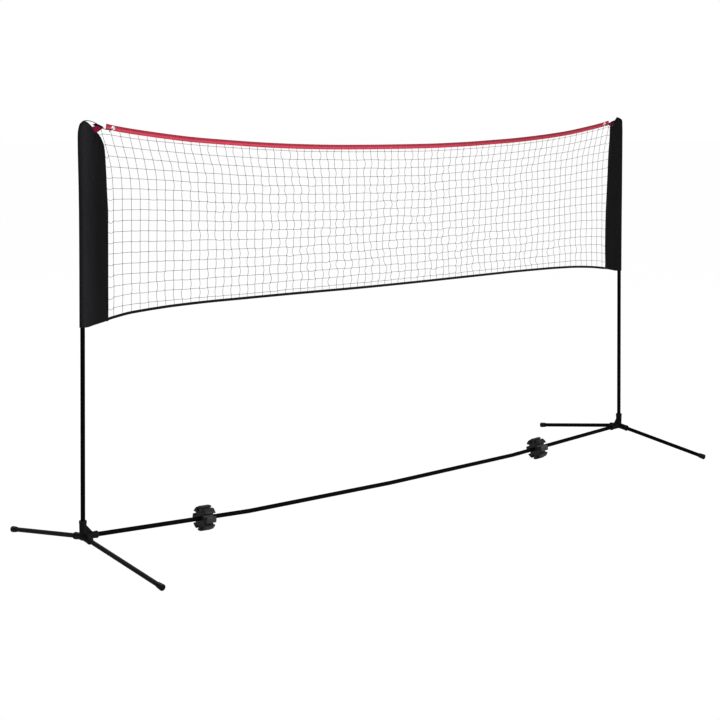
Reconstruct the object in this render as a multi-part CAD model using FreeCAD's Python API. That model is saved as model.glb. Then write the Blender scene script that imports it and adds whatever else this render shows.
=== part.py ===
import FreeCAD, Part
import math
import os

# Portable badminton net: a steel-tube base frame with two upright posts and a
# fabric net hung between them. Millimetres, +Z up, origin on the ground midway
# between the posts, +X along the base bar towards the right-hand post, -Y front.

V = FreeCAD.Vector
os.makedirs("parts", exist_ok=True)

LEFT, RIGHT = -1, 1       # sign of x
FRONT, REAR = -1, 1       # sign of y
UP = V(0, 0, 1)

# ---- posts and tubes --------------------------------------------------------
HALF_SPAN = 1500.0        # post axis from the middle of the frame
POST_TOP_Z = 1546.0       # top of the domed post cap
POST_JOINT_Z = 750.0      # where the upper post section sits on the lower one
POST_DOME = 7.6           # height of the dome on top of a post
POST_SHOULDER_Z = POST_TOP_Z - POST_DOME

TUBE_R = 8.0
TUBE_WALL = 1.0
FIT = 0.05                # radial clearance of every plug and socket
END_GAP = 0.05            # gap left at a tube shoulder
SOCKET_BORE_R = TUBE_R + FIT
PLUG_R = TUBE_R - TUBE_WALL - FIT

NECK_LEN = 45.0           # length of a swaged tube neck
NECK_WALL = 1.0
NECK_TIP_LEN = 2.0        # tapered tip of a neck
NECK_TIP_STEP = 1.0       # how much the radius drops along the tip
NECK_ROOT = 1.0           # overlap of a neck with the tube body
NECK_BORE_BACK = 8.0      # how far a neck's bore runs back into the tube
BORE_STOP = 5.0           # tube bore stops this far from a shoulder with a neck
SHOULDER_ALLOWANCE = 2.0  # extra tube that is cut off square to the neck

# ---- corner hub -------------------------------------------------------------
HUB_Z = 82.0              # height at which the hub's socket axes meet
HUB_FLOOR = 12.0          # socket floor from the point where the axes meet
POST_SOCKET_LEN = 56.0
LEG_SOCKET_LEN = 50.0
BAR_SOCKET_LEN = 60.0
POST_SOCKET_R = 13.0
POST_COLLAR_R = POST_SOCKET_R + 0.6
LEG_SOCKET_R = 12.1
BAR_SOCKET_R = 12.1
LIP_R = 12.9
LIP_LEN = 9.0
LIP_SLOPE_LEN = 2.0       # rise from the socket to its lip
LIP_CHAMFER = 1.2
GUSSET_T = 5.0
# outline of the web: u from the post axis towards the middle, height above HUB_Z
GUSSET_OUTLINE = [(2, 0), (2, 40), (11.5, 40), (42, 7), (42, -2)]

# ---- legs and foot caps -----------------------------------------------------
LEG_END_Y = 488.0         # centre of a foot cap's end disc
LEG_END_Z = 10.4
CAP_R = 11.2
CAP_LEN = 28.0
CAP_FLOOR = 4.0
CAP_GROOVE_R_IN = 6.2     # ring groove in the end disc
CAP_GROOVE_R_OUT = 9.0
CAP_GROOVE_DEPTH = 1.4
CAP_RECESS_R = 4.6        # round recess inside the ring
CAP_RECESS_DEPTH = 1.8

# ---- base bar, in four pieces -----------------------------------------------
BAR_JOINT_X = HALF_SPAN / 2
BAR_JOINT_Z = 47.0
BAR_MID = V(0, 0, 39.5)

# ---- storage clips ----------------------------------------------------------
CLIP_X = {LEFT: 964.5, RIGHT: 914.0}    # distance of the clip from the middle
CLIP_PHASE = {LEFT: 1.0, RIGHT: 10.0}   # degrees that the clip's front is turned upwards
CLIP_R = 46.2
CLIP_W = 45.0
CLIP_RIM_CHAMFER = 1.2
CLIP_COUNT = 8            # tube pockets round the clip
CLIP_POCKET_R = 8.2
CLIP_POCKET_AT = 34.6     # pocket axis from the clip's axis
CLIP_MOUTH = 12.4
CLIP_FLARE = 0.6          # extra half width of a mouth at the rim
CLIP_FLARE_DEPTH = 1.6
CLIP_OVERRUN = 2.0        # how far cutters pass each face
CLIP_RIM_OVERRUN = 3.0    # and the rim

# ---- sleeves ----------------------------------------------------------------
SLEEVE_BORE_R = 8.8
SLEEVE_BORE_FROM_Z = 700.0
SLEEVE_R_LOW = 10.6       # fabric round the post at the bottom of the sleeve
SLEEVE_R_HIGH = 13.0      # and near its top
SLEEVE_LOW_Z = 815.0      # heights of those two sections
SLEEVE_HIGH_Z = 1560.0
SLEEVE_FLAT_T = 2.0       # two layers of fabric beside the post
SLEEVE_FLAT_FROM = 45.0   # where the layers meet, from the post axis
SLEEVE_FLAT_TO = 107.0    # net-side edge, from the post axis
SLEEVE_TOP_CLEAR = 0.4
SLEEVE_SEAM_T = 3.0       # thickness of the closed seam on top of a sleeve
# outline of a sleeve, u from the post axis towards the net, and z
SLEEVE_OUTLINE = [
    (-17, 822), (20, 822), (58, 829), (107, 838), (107, 1230), (102, 1304),
    (98, 1375), (96, 1411), (93, 1447), (89, 1468), (84, 1479), (71, 1501),
    (61, 1512), (55, 1522), (42, 1533), (29, 1543.5), (18, 1549), (8, 1551.5),
    (-2, 1551), (-9, 1547), (-14, 1538), (-17, 1522)]
# half of the sleeve's end view, up to its crown: distance from y = 0, and z
SLEEVE_ROOF = [(40, 800), (40, 1519), (10.4, 1537), (6.5, 1546.8),
               (SLEEVE_SEAM_T / 2, 1549.5), (SLEEVE_SEAM_T / 2, 1556)]

# ---- net --------------------------------------------------------------------
TAPE_H = 19.0
TAPE_T = 2.4
EDGE_H = 9.5
EDGE_T = 2.2
MESH_T = 0.8
MESH_GAP = 0.5            # between the mesh and the tape or edging
NET_HALF_WIDTH = 1392.2   # side of the net panel, just clear of the sleeves
NET_STATIONS = 60         # intervals across the panel
# sag line of the top tape, x and z
TAPE_LINE = [
    (-1400, 1533), (-1360, 1525), (-1296, 1515), (-1208, 1503), (-1119, 1492),
    (-1028, 1482), (-935, 1474), (-840, 1467), (-743, 1460), (-644, 1454),
    (-543, 1449), (-440, 1445), (-334, 1442), (-226, 1440), (0, 1438),
    (231, 1438), (352, 1440), (476, 1443), (603, 1448), (733, 1453.5),
    (866, 1461.5), (1003, 1472), (1143, 1486), (1286, 1506), (1360, 1517.5),
    (1403, 1526), (1419, 1529.2)]
# line of the bottom edging, x and z; its ends lie outside the panel
EDGE_LINE = [
    (-1410, 836), (-1374, 847), (-1306, 857), (-1236, 862), (-1165, 865.5),
    (-1093, 868), (-950, 870), (-790, 869.5), (-550, 868.5), (-390, 867),
    (-130, 865), (150, 865), (340, 866), (540, 867), (750, 868), (960, 867),
    (1074, 865), (1187, 861), (1303, 852), (1410, 834)]

# ---- net corners ------------------------------------------------------------
TAB_TIP = {LEFT: 1411.5, RIGHT: 1421.5}  # reach of the tabs towards the tape, as |x|
TAB_T = 3.8
TAB_SLOT_T = 2.2          # room for the sleeve inside a tab
TAB_CLEAR = 0.4           # slot clearance inwards and upwards
EYELET = {LEFT: (-1372.0, 1526.8), RIGHT: (1388.0, 1523.0)}   # x and z
EYELET_HOLE_R = 5.0
EYELET_BARREL_R = 5.8
EYELET_FLANGE_R = 8.1
EYELET_FLANGE_T = 0.9
EYELET_BEVEL = 0.5

CORD_R = 1.25
# cord over the sleeve: u from the post axis towards the net, y, z
CORD_ON_SLEEVE = [(4, 0, 1553.4), (20, -0.6, 1553.6), (36, -2.0, 1551.0),
                  (52, -3.8, 1545.6), (68, -4.4, 1537.0)]
# one point beyond the sleeve's top: u, y, height from the eyelet
CORD_APPROACH = (86, -4.5, -2.0)
# cord at the eyelet: offset towards the post, y, height from the eyelet
CORD_AT_EYELET = [(16, -4.3, -6.2), (8, -4.2, -6.8), (4.4, -5.2, -5.0),
                  (2.5, -4.1, -2.9), (2.0, 0, -2.0)]
CORD_EXIT = {LEFT: (2.2, 3.9, -1.6), RIGHT: (1.2, 3.9, -1.6)}
CORD_END_Y = 7.2          # inside the knot
KNOT_R = 5.6
KNOT_SHIFT = {LEFT: 6.0, RIGHT: 3.4}     # knot from the eyelet, towards -X
KNOT_CLEAR = 1.3          # between the tape and the knot


# ---- helpers ----------------------------------------------------------------
def unit(vector):
    result = V(vector)
    result.normalize()
    return result


def aimed(point, direction):
    """Placement that takes the origin to point and +Z to direction."""
    return FreeCAD.Placement(point, FreeCAD.Rotation(UP, unit(direction)))


def cylinder(point, direction, radius, length):
    return Part.makeCylinder(radius, length, point, unit(direction))


def closed_face(points):
    return Part.Face(Part.makePolygon(points + [points[0]]))


def turned(profile, point, direction):
    """Solid of revolution about the line from point; profile is (along, radius)."""
    points = [V(radius, 0, along) for along, radius in profile]
    if profile[0][1] > 1e-6:
        points = [V(0, 0, profile[0][0])] + points
    if profile[-1][1] > 1e-6:
        points = points + [V(0, 0, profile[-1][0])]
    solid = closed_face(points).revolve(V(0, 0, 0), UP, 360)
    solid.Placement = aimed(point, direction)
    return solid


def beyond(point, direction, size=80.0):
    """Block that fills everything past the plane through point."""
    block = Part.makeBox(size, size, size, V(-size / 2, -size / 2, 0))
    block.Placement = aimed(point, direction)
    return block


def slab(outline, thickness):
    """Flat plate with the given outline in XZ, centred on y = 0."""
    face = closed_face([V(x, -thickness / 2, z) for x, z in outline])
    return face.extrude(V(0, thickness, 0))


def smooth(points):
    """Spline through 3D points."""
    spline = Part.BSplineCurve()
    spline.interpolate(points)
    return spline


def tube(start, end, start_neck=None, end_neck=None):
    """Round tube. A neck is a smaller, open plug that points along start_neck
    or end_neck, the axis of the tube it plugs into."""
    along = unit(end - start)
    length = (end - start).Length
    start_extra = SHOULDER_ALLOWANCE if start_neck else 0.0
    end_extra = SHOULDER_ALLOWANCE if end_neck else 0.0
    necks = [(point, unit(neck)) for point, neck in ((start, start_neck), (end, end_neck)) if neck]

    body = cylinder(start - along * start_extra, along, TUBE_R, length + start_extra + end_extra)
    for point, neck in necks:
        body = body.cut(beyond(point, neck))
    for point, neck in necks:
        body = body.fuse(turned([(-NECK_ROOT, PLUG_R), (NECK_LEN - NECK_TIP_LEN, PLUG_R),
                                 (NECK_LEN, PLUG_R - NECK_TIP_STEP)], point, neck))
    bore_from = BORE_STOP if start_neck else -1.0
    bore_to = length - BORE_STOP if end_neck else length + 1.0
    body = body.cut(cylinder(start + along * bore_from, along, TUBE_R - TUBE_WALL,
                             bore_to - bore_from))
    for point, neck in necks:
        body = body.cut(cylinder(point - neck * NECK_BORE_BACK, neck, PLUG_R - NECK_WALL,
                                 NECK_BORE_BACK + NECK_LEN + 1.0))
    return body.removeSplitter()


def save(name, shape):
    shape.exportStep("parts/%s.step" % name)


# ---- skeleton ---------------------------------------------------------------
def from_post(side, u):
    """x of a point u from the post axis, measured towards the middle."""
    return side * (HALF_SPAN - u)


def on_post(side, z):
    return V(side * HALF_SPAN, 0, z)


def hub_point(side):
    return on_post(side, HUB_Z)


def bar_joint(side):
    return V(side * BAR_JOINT_X, 0, BAR_JOINT_Z)


def bar_dir(side):
    """Along the outer half of the base bar, from the hub towards the middle."""
    return unit(bar_joint(side) - hub_point(side))


def leg_dir(end):
    """Along the front or rear leg, outwards."""
    return unit(V(0, end * LEG_END_Y, LEG_END_Z - HUB_Z))


def leg_end(side, end):
    return V(side * HALF_SPAN, end * LEG_END_Y, LEG_END_Z)


# ---- corner hub: one moulding with four sockets -----------------------------
def socket(point, direction, length, radius):
    lip_start = length - LIP_LEN
    return turned([(0, radius), (lip_start, radius), (lip_start + LIP_SLOPE_LEN, LIP_R),
                   (length - LIP_CHAMFER, LIP_R), (length, LIP_R - LIP_CHAMFER)],
                  point, direction)


def hub(side):
    centre = hub_point(side)
    sockets = [(leg_dir(FRONT), LEG_SOCKET_LEN, LEG_SOCKET_R),
               (leg_dir(REAR), LEG_SOCKET_LEN, LEG_SOCKET_R),
               (bar_dir(side), BAR_SOCKET_LEN, BAR_SOCKET_R)]
    # post socket with a rounded base and a collar at its mouth
    body = turned([(-13.0, 8.0), (-9.0, 12.0), (POST_SOCKET_LEN - 11.0, POST_SOCKET_R),
                   (POST_SOCKET_LEN - 10.0, POST_COLLAR_R),
                   (POST_SOCKET_LEN - 1.0, POST_COLLAR_R),
                   (POST_SOCKET_LEN, POST_SOCKET_R - 0.2)], centre, UP)
    for direction, length, radius in sockets:
        body = body.fuse(socket(centre, direction, length, radius))
    # web between the post socket and the bar socket
    body = body.fuse(slab([(from_post(side, u), HUB_Z + height) for u, height in GUSSET_OUTLINE],
                          GUSSET_T))
    for direction, length, _ in [(UP, POST_SOCKET_LEN, POST_SOCKET_R)] + sockets:
        body = body.cut(cylinder(centre + direction * HUB_FLOOR, direction,
                                 SOCKET_BORE_R, length))
    return body.removeSplitter()


# ---- legs -------------------------------------------------------------------
def leg_tube(side, end):
    outwards = leg_dir(end)
    return tube(hub_point(side) + outwards * (HUB_FLOOR + END_GAP),
                leg_end(side, end) - outwards * (CAP_FLOOR + END_GAP))


def foot_cap(side, end):
    """Cap pushed over the end of a leg, with a small flat on the ground."""
    tip, inwards = leg_end(side, end), leg_dir(end) * -1
    body = turned([(0, CAP_R - 1.0), (1.0, CAP_R), (6.0, CAP_R), (20.0, 10.1),
                   (CAP_LEN - 1.0, 9.8), (CAP_LEN, 9.1)], tip, inwards)
    body = body.cut(cylinder(tip + inwards * CAP_FLOOR, inwards, SOCKET_BORE_R, CAP_LEN))
    groove = turned([(-1.0, CAP_GROOVE_R_OUT), (CAP_GROOVE_DEPTH, CAP_GROOVE_R_OUT)], tip, inwards)
    groove = groove.cut(turned([(-2.0, CAP_GROOVE_R_IN), (2.0, CAP_GROOVE_R_IN)], tip, inwards))
    recess = turned([(-1.0, CAP_RECESS_R), (CAP_RECESS_DEPTH, CAP_RECESS_R)], tip, inwards)
    body = body.cut(groove).cut(recess)
    below_ground = Part.makeBox(60, 60, 20, V(tip.x - 30, tip.y - 30, -20))
    return body.cut(below_ground)


# ---- base bar: each inner tube plugs into its outer tube, and the right inner
# ---- tube also plugs into the left one at the middle -------------------------
def bar_outer(side):
    return tube(hub_point(side) + bar_dir(side) * (HUB_FLOOR + END_GAP), bar_joint(side))


def bar_inner(side):
    start = bar_joint(side) + bar_dir(side) * END_GAP
    outwards = bar_dir(side) * -1
    if side == LEFT:
        return tube(start, BAR_MID, start_neck=outwards)
    left_axis = unit(BAR_MID - bar_joint(LEFT))
    return tube(start, BAR_MID + left_axis * END_GAP, start_neck=outwards,
                end_neck=left_axis * -1)


# ---- storage clip: a moulding that slides on the bar and holds loose tubes ---
def clip_pocket():
    """Cutter for one pocket with its mouth, opening along +X."""
    start, depth = -CLIP_W / 2 - CLIP_OVERRUN, CLIP_W + 2 * CLIP_OVERRUN
    pocket = Part.makeCylinder(CLIP_POCKET_R, depth, V(CLIP_POCKET_AT, 0, start))
    mouth = Part.makeBox(CLIP_R, CLIP_MOUTH, depth, V(CLIP_POCKET_AT, -CLIP_MOUTH / 2, start))
    # the mouth flares at the rim so that a tube snaps in
    inner, outer = CLIP_R - CLIP_FLARE_DEPTH, CLIP_R + CLIP_RIM_OVERRUN
    inner_half = CLIP_MOUTH / 2
    outer_half = inner_half + CLIP_FLARE * (outer - inner) / CLIP_FLARE_DEPTH
    flare = closed_face([V(inner, -inner_half, start), V(outer, -outer_half, start),
                         V(outer, outer_half, start), V(inner, inner_half, start)])
    return pocket.fuse([mouth, flare.extrude(V(0, 0, depth))])


def storage_clip(side):
    along = bar_dir(side)
    ratio = (HALF_SPAN - CLIP_X[side]) / (HALF_SPAN - BAR_JOINT_X)
    centre = hub_point(side) + (bar_joint(side) - hub_point(side)) * ratio
    rim_r = CLIP_R - CLIP_RIM_CHAMFER
    body = turned([(0, rim_r), (CLIP_RIM_CHAMFER, CLIP_R),
                   (CLIP_W - CLIP_RIM_CHAMFER, CLIP_R), (CLIP_W, rim_r)],
                  V(0, 0, -CLIP_W / 2), UP)
    body = body.cut(Part.makeCylinder(SOCKET_BORE_R, CLIP_W + 2 * CLIP_OVERRUN,
                                      V(0, 0, -CLIP_W / 2 - CLIP_OVERRUN)))
    for i in range(CLIP_COUNT):
        cutter = clip_pocket()
        cutter.rotate(V(0, 0, 0), UP, 360.0 / CLIP_COUNT * (i + 0.5))
        body = body.cut(cutter)
    # turned by its phase, then local +X is put to the front and +Z along the bar
    front = V(0, -1, 0)
    across = along.cross(front)
    frame = FreeCAD.Matrix(front.x, across.x, along.x, centre.x,
                           front.y, across.y, along.y, centre.y,
                           front.z, across.z, along.z, centre.z, 0, 0, 0, 1)
    body.rotate(V(0, 0, 0), UP, side * CLIP_PHASE[side])
    body.Placement = FreeCAD.Placement(frame).multiply(body.Placement)
    return body


# ---- posts ------------------------------------------------------------------
def dome(radius, z):
    """Rounded top of a post: (z, radius) pairs from its shoulder to its crown."""
    angles = [math.radians(degrees) for degrees in (0, 18, 36, 54, 72)]
    return [(z + POST_DOME * math.sin(angle), radius * math.cos(angle))
            for angle in angles] + [(z + POST_DOME, 0.0)]


def post_lower(side):
    return tube(hub_point(side) + UP * (HUB_FLOOR + END_GAP), on_post(side, POST_JOINT_Z),
                end_neck=UP)


def post_upper(side):
    return tube(on_post(side, POST_JOINT_Z + END_GAP), on_post(side, POST_SHOULDER_Z))


def post_cap(side):
    """Domed cap with a plug that fits inside the tube."""
    return turned([(-16, 5.4), (-14, PLUG_R), (END_GAP, PLUG_R), (END_GAP, TUBE_R)]
                  + dome(TUBE_R, END_GAP)[1:], on_post(side, POST_SHOULDER_Z), UP)


# ---- sleeves ----------------------------------------------------------------
def sleeve_outline(side):
    return [(from_post(side, u), z) for u, z in SLEEVE_OUTLINE]


def teardrop(side, radius, z):
    """Closed outline round the post that narrows to a flat double layer."""
    half, meet, far = SLEEVE_FLAT_T / 2, SLEEVE_FLAT_FROM, SLEEVE_FLAT_TO
    # tangent from (meet, half) to the circle about the post
    angle = math.acos(radius / math.hypot(meet, half)) + math.atan2(half, meet)
    touch_u, touch_y = radius * math.cos(angle), radius * math.sin(angle)

    def at(u, y):
        return V(from_post(side, u), y, z)

    arc = Part.Arc(at(touch_u, touch_y), at(-radius, 0), at(touch_u, -touch_y)).toShape()
    return Part.Wire([Part.makeLine(at(far, half), at(meet, half)),
                      Part.makeLine(at(meet, half), at(touch_u, touch_y)),
                      arc,
                      Part.makeLine(at(touch_u, -touch_y), at(meet, -half)),
                      Part.makeLine(at(meet, -half), at(far, -half)),
                      Part.makeLine(at(far, -half), at(far, half))])


def sleeve(side):
    body = Part.makeLoft([teardrop(side, SLEEVE_R_LOW, SLEEVE_LOW_Z),
                          teardrop(side, SLEEVE_R_HIGH, SLEEVE_HIGH_Z)], True, True)
    body = body.common(slab(sleeve_outline(side), 80))
    # the two layers close over the post in a seam
    roof = SLEEVE_ROOF + [(-y, z) for y, z in reversed(SLEEVE_ROOF)]
    roof_face = closed_face([V(side * HALF_SPAN - 200, y, z) for y, z in roof])
    body = body.common(roof_face.extrude(V(400, 0, 0)))
    bore = turned([(SLEEVE_BORE_FROM_Z, SLEEVE_BORE_R)]
                  + dome(SLEEVE_BORE_R, POST_SHOULDER_Z + SLEEVE_TOP_CLEAR), on_post(side, 0), UP)
    return body.cut(bore).removeSplitter()


# ---- net corners ------------------------------------------------------------
def corner_tab(side):
    """Doubled patch that wraps the sleeve's net-side edge."""
    outline = [(1453, 1521), (1446, 1507.5), (1437, 1512), (TAB_TIP[side], 1527),
               (1440, 1534.5), (1453, 1531)]
    plate = slab([(side * x, z) for x, z in outline], TAB_T)
    slot = slab(sleeve_outline(side), TAB_SLOT_T)
    for inwards, upwards in ((TAB_CLEAR, 0), (TAB_CLEAR, TAB_CLEAR), (0, TAB_CLEAR)):
        shifted = slab(sleeve_outline(side), TAB_SLOT_T)
        shifted.translate(V(-side * inwards, 0, upwards))
        slot = slot.fuse(shifted)
    return plate.cut(slot)


def grommet(side):
    x, z = EYELET[side]
    seat = TAPE_T / 2 + FIT
    face = seat + EYELET_FLANGE_T
    bevel_start = face - EYELET_BEVEL
    face_r = EYELET_FLANGE_R - EYELET_BEVEL
    ring = turned([(-face, face_r), (-bevel_start, EYELET_FLANGE_R), (-seat, EYELET_FLANGE_R),
                   (-seat, EYELET_BARREL_R), (seat, EYELET_BARREL_R), (seat, EYELET_FLANGE_R),
                   (bevel_start, EYELET_FLANGE_R), (face, face_r)], V(x, 0, z), V(0, 1, 0))
    return ring.cut(cylinder(V(x, -10, z), V(0, 1, 0), EYELET_HOLE_R, 20))


def tension_cord(side):
    """Cord from the top of the sleeve, along the front of the tape and through
    the eyelet to a stopper knot behind it."""
    eyelet_x, eyelet_z = EYELET[side]
    knot_x = eyelet_x - KNOT_SHIFT[side]
    points = [V(from_post(side, u), y, z) for u, y, z in CORD_ON_SLEEVE]
    u, y, height = CORD_APPROACH
    points.append(V(from_post(side, u), y, eyelet_z + height))
    for offset, y, height in CORD_AT_EYELET + [CORD_EXIT[side]]:
        points.append(V(eyelet_x + side * offset, y, eyelet_z + height))
    points.append(V(knot_x, CORD_END_Y, eyelet_z))
    spline = smooth(points)
    start_dir = spline.tangent(spline.FirstParameter)[0]
    ring = Part.Wire(Part.makeCircle(CORD_R, points[0], start_dir))
    cord = Part.Wire(spline.toShape()).makePipeShell([ring], True, True)
    # the sweep may come back as a shell
    if cord.ShapeType != "Solid":
        cord = Part.makeSolid(cord)
    knot = Part.makeSphere(KNOT_R, V(knot_x, TAPE_T / 2 + KNOT_CLEAR + KNOT_R, eyelet_z))
    return cord.fuse(knot).removeSplitter()


# ---- net panel --------------------------------------------------------------
def offset_line(points, distance):
    """Points moved sideways from a line; positive is upwards."""
    moved = []
    for i, (x, z) in enumerate(points):
        x0, z0 = points[max(i - 1, 0)]
        x1, z1 = points[min(i + 1, len(points) - 1)]
        length = math.hypot(x1 - x0, z1 - z0)
        moved.append((x - (z1 - z0) / length * distance, z + (x1 - x0) / length * distance))
    return moved


def trimmed(line, distance):
    """An offset line resampled between the net panel's sides."""
    spline = smooth([V(x, 0, z) for x, z in offset_line(line, distance)])
    points = []
    for i in range(NET_STATIONS + 1):
        x = -NET_HALF_WIDTH + 2 * NET_HALF_WIDTH * i / NET_STATIONS
        # bisect for the spline parameter at this x
        low, high = spline.FirstParameter, spline.LastParameter
        for _ in range(60):
            middle = (low + high) / 2
            if spline.value(middle).x < x:
                low = middle
            else:
                high = middle
        points.append((x, spline.value((low + high) / 2).z))
    return points


def band(lower, upper, thickness):
    """Plate between two smooth lines, centred on y = 0."""
    bottom = [V(x, -thickness / 2, z) for x, z in lower]
    top = [V(x, -thickness / 2, z) for x, z in upper]
    wire = Part.Wire([smooth(bottom).toShape(), Part.makeLine(bottom[-1], top[-1]),
                      smooth(top).toShape(), Part.makeLine(top[0], bottom[0])])
    return Part.Face(wire).extrude(V(0, thickness, 0))


def top_tape():
    tape = band(offset_line(TAPE_LINE, -TAPE_H / 2), offset_line(TAPE_LINE, TAPE_H / 2), TAPE_T)
    for x, z in (EYELET[LEFT], EYELET[RIGHT]):
        tape = tape.cut(cylinder(V(x, -10, z), V(0, 1, 0), EYELET_BARREL_R + FIT, 20))
    return tape


def bottom_edging():
    return band(trimmed(EDGE_LINE, -EDGE_H / 2), trimmed(EDGE_LINE, EDGE_H / 2), EDGE_T)


def net_mesh():
    return band(trimmed(EDGE_LINE, EDGE_H / 2 + MESH_GAP),
                trimmed(TAPE_LINE, -TAPE_H / 2 - MESH_GAP), MESH_T)


# ---- build ------------------------------------------------------------------
SIDE_PIECES = {
    "hub": hub, "bar_tube_outer": bar_outer, "bar_tube_inner": bar_inner,
    "storage_clip": storage_clip, "post_lower": post_lower, "post_upper": post_upper,
    "post_cap": post_cap, "sleeve": sleeve, "corner_tab": corner_tab,
    "grommet": grommet, "tension_cord": tension_cord}

for side, side_name in ((LEFT, "left"), (RIGHT, "right")):
    for piece, build in SIDE_PIECES.items():
        save("%s_%s" % (piece, side_name), build(side))
    for end, end_name in ((FRONT, "front"), (REAR, "rear")):
        save("leg_tube_%s_%s" % (end_name, side_name), leg_tube(side, end))
        save("foot_cap_%s_%s" % (end_name, side_name), foot_cap(side, end))

save("top_tape", top_tape())
save("bottom_edging", bottom_edging())
save("net_mesh", net_mesh())
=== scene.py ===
import math

import bpy
import numpy as np
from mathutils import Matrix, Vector


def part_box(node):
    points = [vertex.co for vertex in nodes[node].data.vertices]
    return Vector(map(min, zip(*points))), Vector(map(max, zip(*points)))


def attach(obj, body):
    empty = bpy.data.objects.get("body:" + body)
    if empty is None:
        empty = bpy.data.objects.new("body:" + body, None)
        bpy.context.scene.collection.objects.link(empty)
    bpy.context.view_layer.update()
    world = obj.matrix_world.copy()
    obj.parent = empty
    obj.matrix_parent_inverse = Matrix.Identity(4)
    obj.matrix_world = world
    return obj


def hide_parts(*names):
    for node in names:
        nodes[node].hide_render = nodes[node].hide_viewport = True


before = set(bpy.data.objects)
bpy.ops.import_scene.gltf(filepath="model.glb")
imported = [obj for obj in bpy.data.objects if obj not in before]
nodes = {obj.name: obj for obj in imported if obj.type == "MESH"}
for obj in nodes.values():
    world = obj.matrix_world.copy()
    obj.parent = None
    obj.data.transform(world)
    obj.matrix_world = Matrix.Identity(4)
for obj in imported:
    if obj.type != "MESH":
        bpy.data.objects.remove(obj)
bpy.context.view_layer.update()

scene = bpy.context.scene
rng = np.random.default_rng(20)

HS = 1.5            # post axis from the middle
POST_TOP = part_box("post_cap_left")[1].z


# =============================================================================
# small tools
# =============================================================================
def lerp_table(table, v):
    a = np.array(table, float)
    o = np.argsort(a[:, 0])
    return np.interp(v, a[o, 0], a[o, 1])


def smooth_curve(points, n):
    """n points on a Catmull-Rom curve through 2-D or 3-D points, evenly spaced."""
    p = np.array(points, float)
    p = np.vstack([2 * p[0] - p[1], p, 2 * p[-1] - p[-2]])
    out = []
    for i in range(1, len(p) - 2):
        t = np.linspace(0, 1, 24, endpoint=False)[:, None]
        a, b, c, d = p[i - 1], p[i], p[i + 1], p[i + 2]
        out.append(0.5 * (2 * b + (c - a) * t + (2 * a - 5 * b + 4 * c - d) * t**2 + (3 * b - a - 3 * c + d) * t**3))
    out = np.vstack(out + [p[-2][None]])
    s = np.concatenate([[0], np.cumsum(np.linalg.norm(np.diff(out, axis=0), axis=1))])
    q = np.linspace(0, s[-1], n)
    return np.stack([np.interp(q, s, out[:, k]) for k in range(out.shape[1])], 1)


def add_mesh(name, verts, faces, mat, smooth=True):
    me = bpy.data.meshes.new(name)
    me.from_pydata([tuple(v) for v in np.asarray(verts, float)], [], [tuple(int(i) for i in f) for f in faces])
    me.validate()
    me.update()
    if smooth:
        me.polygons.foreach_set("use_smooth", [True] * len(me.polygons))
    ob = bpy.data.objects.new(name, me)
    scene.collection.objects.link(ob)
    if mat:
        me.materials.append(mat)
    return ob


def frames_along(p):
    """Tangents and two steady normals along a polyline."""
    t = np.gradient(p, axis=0)
    t /= np.linalg.norm(t, axis=1)[:, None] + 1e-12
    n = np.zeros_like(p)
    ref = np.array([0.0, 1.0, 0.0]) if abs(t[0][1]) < 0.9 else np.array([1.0, 0, 0])
    v = ref - t[0] * (ref @ t[0])
    n[0] = v / np.linalg.norm(v)
    for i in range(1, len(p)):
        v = n[i - 1] - t[i] * (n[i - 1] @ t[i])
        n[i] = v / (np.linalg.norm(v) + 1e-12)
    return t, n, np.cross(t, n)


def pipe(p, r, sides=6, twist=0.0, lobes=0, lobe=0.0):
    """Closed tube along points p; lobes make it a laid or braided cord."""
    p = np.asarray(p, float)
    r = np.broadcast_to(r, (len(p),))
    t, n, b = frames_along(p)
    s = np.concatenate([[0], np.cumsum(np.linalg.norm(np.diff(p, axis=0), axis=1))])
    a = np.linspace(0, 2 * math.pi, sides, endpoint=False)
    v = []
    for i in range(len(p)):
        rr = r[i] * (1 + lobe * np.cos(lobes * a + twist * s[i]))
        v.append(p[i] + (np.cos(a) * rr)[:, None] * n[i] + (np.sin(a) * rr)[:, None] * b[i])
    v = np.vstack(v)
    f = []
    for i in range(len(p) - 1):
        for k in range(sides):
            k2 = (k + 1) % sides
            f.append((i * sides + k, i * sides + k2, (i + 1) * sides + k2, (i + 1) * sides + k))
    f.append(tuple(range(sides - 1, -1, -1)))
    e = (len(p) - 1) * sides
    f.append(tuple(e + k for k in range(sides)))
    return v, f


class Gather:
    """Collects many small closed shapes into one mesh."""

    def __init__(self):
        self.v, self.f, self.n = [], [], 0

    def add(self, v, f):
        self.v.append(np.asarray(v, float))
        self.f += [tuple(i + self.n for i in q) for q in f]
        self.n += len(v)

    def make(self, name, mat, smooth=True):
        return add_mesh(name, np.vstack(self.v), self.f, mat, smooth)


def ball(c, r, seg=6, rings=4, scale=(1, 1, 1)):
    v, f = [(0, 0, 1)], []
    for i in range(1, rings):
        th = math.pi * i / rings
        for k in range(seg):
            a = 2 * math.pi * k / seg
            v.append((math.sin(th) * math.cos(a), math.sin(th) * math.sin(a), math.cos(th)))
    v.append((0, 0, -1))
    for k in range(seg):
        f.append((0, 1 + k, 1 + (k + 1) % seg))
    for i in range(rings - 2):
        for k in range(seg):
            a, b = 1 + i * seg + k, 1 + i * seg + (k + 1) % seg
            f.append((a, a + seg, b + seg, b))
    last, base = len(v) - 1, 1 + (rings - 2) * seg
    for k in range(seg):
        f.append((last, base + (k + 1) % seg, base + k))
    return np.array(v) * r * np.array(scale) + np.array(c), f


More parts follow.
